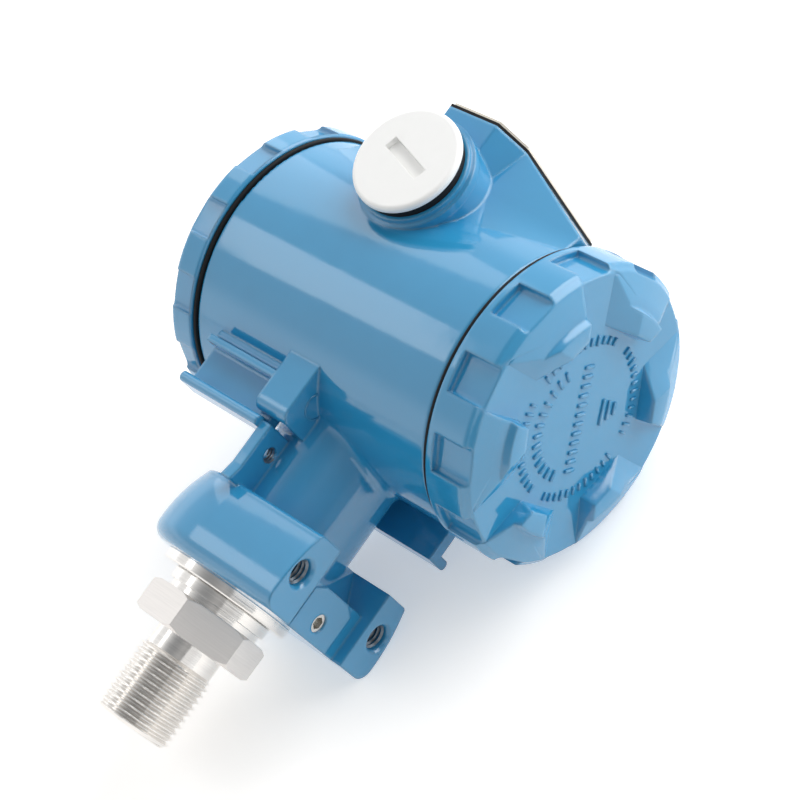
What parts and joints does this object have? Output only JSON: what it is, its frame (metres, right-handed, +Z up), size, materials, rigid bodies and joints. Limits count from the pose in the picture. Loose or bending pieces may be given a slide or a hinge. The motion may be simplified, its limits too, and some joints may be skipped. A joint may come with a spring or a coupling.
{
  "type": "pressure transmitter",
  "caption": "Pressure transmitter with a blue cast barrel housing, two screwed covers with grip lugs, blanked conduit entries, a necked sensor block and a threaded stainless process connector",
  "frame": {"origin": "on the axis of the process thread, in the plane of the hexagon's underside", "axes": "+Z up from the process thread to the name plate; X along the barrel with the front cover at +X; Y along the conduit entries"},
  "size_m": [0.1099, 0.0854, 0.1712],
  "materials": {
    "blue_paint": "gloss mid-blue paint on die-cast aluminium",
    "black_rubber": "matte black rubber",
    "white_plastic": "white moulded plastic",
    "plate_metal": "thin beige metal plate, plain",
    "stainless": "turned stainless steel",
    "steel": "plated steel fasteners",
    "lead_sheath": "black heat-shrink sheath",
    "black_plastic": "black moulded plastic",
    "board_green": "green circuit board",
    "brass": "nickel-free brass"
  },
  "bodies": {
    "transmitter_body": {"housing": "blue_paint", "nameplate_gasket": "black_rubber", "nameplate": "plate_metal", "nameplate_screws": "steel", "process_connector": "stainless", "connector_seal": "black_rubber", "sensor_capsule": "stainless", "capsule_seal": "black_rubber", "capsule_retainer": "stainless", "sensor_set_screw": "steel", "sensor_lead": "lead_sheath", "lead_connector": "white_plastic", "electronics_cup": "black_plastic", "circuit_board": "board_green", "module_screws": "steel", "feedthrough": "brass", "terminal_block": "black_plastic", "terminal_clamps": "brass", "terminal_screws": "steel", "terminal_block_screws": "steel", "inner_earth_screw": "steel"},
    "front_cover_carrier": {"front_cover_seal": "black_rubber"},
    "front_cover_screwed": {"front_cover": "blue_paint"},
    "rear_cover_carrier": {"rear_cover_seal": "black_rubber"},
    "rear_cover_screwed": {"rear_cover": "blue_paint"},
    "left_plug_carrier": {"plug_gasket_left": "black_rubber"},
    "left_plug_screwed": {"conduit_plug_left": "white_plastic"},
    "right_plug_carrier": {"plug_gasket_right": "black_rubber"},
    "right_plug_screwed": {"conduit_plug_right": "white_plastic"}
  },
  "joints": [
    {"name": "front_cover_travel", "type": "slide", "parent": "transmitter_body", "child": "front_cover_carrier", "axis": [1, 0, 0], "range_m": [0, 0.012]},
    {"name": "front_cover_turn", "type": "hinge", "parent": "front_cover_carrier", "child": "front_cover_screwed", "pos_m": [0.0413, 0, 0.096], "axis": [1, 0, 0], "range_deg": [0, 2880]},
    {"name": "rear_cover_travel", "type": "slide", "parent": "transmitter_body", "child": "rear_cover_carrier", "axis": [-1, 0, 0], "range_m": [0, 0.012]},
    {"name": "rear_cover_turn", "type": "hinge", "parent": "rear_cover_carrier", "child": "rear_cover_screwed", "pos_m": [-0.0398, 0, 0.096], "axis": [-1, 0, 0], "range_deg": [0, 2880]},
    {"name": "left_plug_travel", "type": "slide", "parent": "transmitter_body", "child": "left_plug_carrier", "axis": [0, -1, 0], "range_m": [0, 0.012]},
    {"name": "left_plug_turn", "type": "hinge", "parent": "left_plug_carrier", "child": "left_plug_screwed", "pos_m": [0, -0.038, 0.123], "axis": [0, -1, 0], "range_deg": [0, 2880]},
    {"name": "right_plug_travel", "type": "slide", "parent": "transmitter_body", "child": "right_plug_carrier", "axis": [0, 1, 0], "range_m": [0, 0.012]},
    {"name": "right_plug_turn", "type": "hinge", "parent": "right_plug_carrier", "child": "right_plug_screwed", "pos_m": [0, 0.038, 0.123], "axis": [0, 1, 0], "range_deg": [0, 2880]}
  ],
  "couplings": [
    {"joint": "front_cover_travel", "follows": "front_cover_turn", "m_per_rad": 0.0002387},
    {"joint": "rear_cover_travel", "follows": "rear_cover_turn", "m_per_rad": 0.0002387},
    {"joint": "left_plug_travel", "follows": "left_plug_turn", "m_per_rad": 0.0002387},
    {"joint": "right_plug_travel", "follows": "right_plug_turn", "m_per_rad": 0.0002387}
  ]
}
